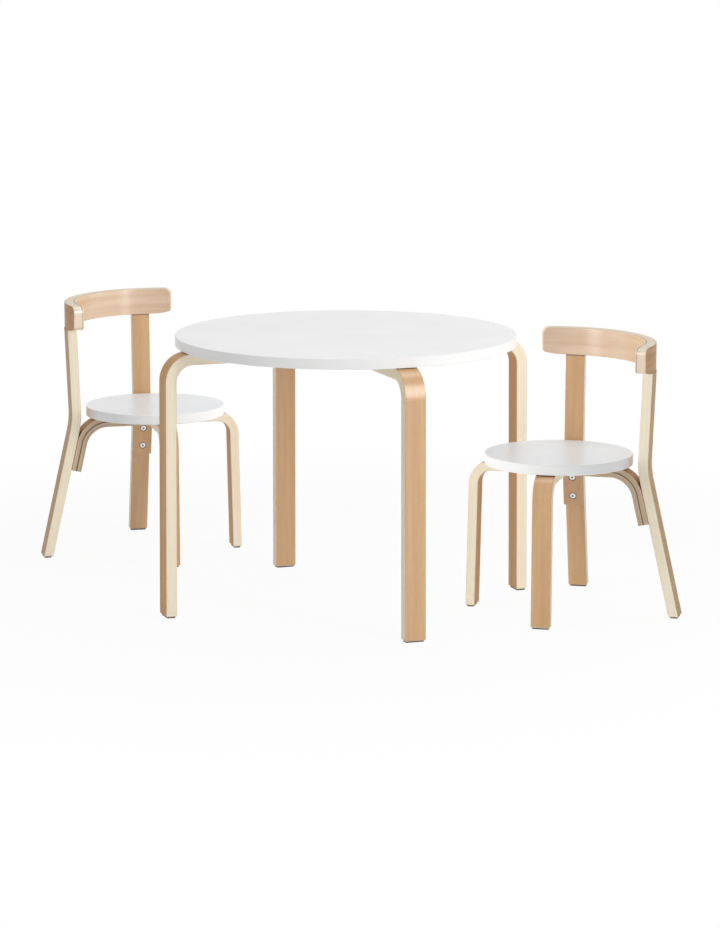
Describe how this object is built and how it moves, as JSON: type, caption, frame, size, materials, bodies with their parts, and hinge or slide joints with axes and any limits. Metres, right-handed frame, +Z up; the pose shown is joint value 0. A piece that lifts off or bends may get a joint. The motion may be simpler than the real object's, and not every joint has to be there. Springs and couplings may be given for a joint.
{
  "type": "kids table and chairs",
  "caption": "Low round table for small children with matching bentwood chairs that have round seats and short curved backrests.",
  "frame": {"origin": "on the floor, under the middle of the whole set's bounding box", "axes": "+Z up; +X runs along the set's length, from the left chair to the right chair; +Y points to the back, where the left chair stands"},
  "size_m": [1.1667, 1.001, 0.483],
  "materials": {
    "painted_board": "semi-gloss white paint on board",
    "bent_birch": "clear satin lacquer on bent birch plywood, pale at the edges",
    "dowel_beech": "plain",
    "glide_felt": "matte",
    "screw_steel": "zinc plated",
    "bolt_steel": "bright nickel",
    "insert_steel": "yellow zinc plated"
  },
  "bodies": {
    "table": {"table_glides": "glide_felt", "table_leg_back": "bent_birch", "table_leg_front": "bent_birch", "table_leg_left": "bent_birch", "table_leg_right": "bent_birch", "table_leg_screws": "screw_steel", "table_top": "painted_board"},
    "left_chair": {"left_chair_backrest": "bent_birch", "left_chair_backrest_dowels": "dowel_beech", "left_chair_bracket_bolts": "bolt_steel", "left_chair_front_leg_left": "bent_birch", "left_chair_front_leg_right": "bent_birch", "left_chair_glides": "glide_felt", "left_chair_post_inserts": "insert_steel", "left_chair_rear_bracket_left": "bent_birch", "left_chair_rear_bracket_right": "bent_birch", "left_chair_rear_post_left": "bent_birch", "left_chair_rear_post_right": "bent_birch", "left_chair_seat": "painted_board", "left_chair_seat_screws": "screw_steel"},
    "right_chair": {"right_chair_backrest": "bent_birch", "right_chair_backrest_dowels": "dowel_beech", "right_chair_bracket_bolts": "bolt_steel", "right_chair_front_leg_left": "bent_birch", "right_chair_front_leg_right": "bent_birch", "right_chair_glides": "glide_felt", "right_chair_post_inserts": "insert_steel", "right_chair_rear_bracket_left": "bent_birch", "right_chair_rear_bracket_right": "bent_birch", "right_chair_rear_post_left": "bent_birch", "right_chair_rear_post_right": "bent_birch", "right_chair_seat": "painted_board", "right_chair_seat_screws": "screw_steel"}
  },
  "joints": [
    {"name": "left_chair_on_floor", "type": "slide", "parent": "table", "child": "left_chair", "axis": [0.8572, -0.515, 0], "range_m": [-0.15, 0.1]},
    {"name": "right_chair_on_floor", "type": "slide", "parent": "table", "child": "right_chair", "axis": [-0.8616, -0.5075, 0], "range_m": [-0.15, 0.04]}
  ]
}
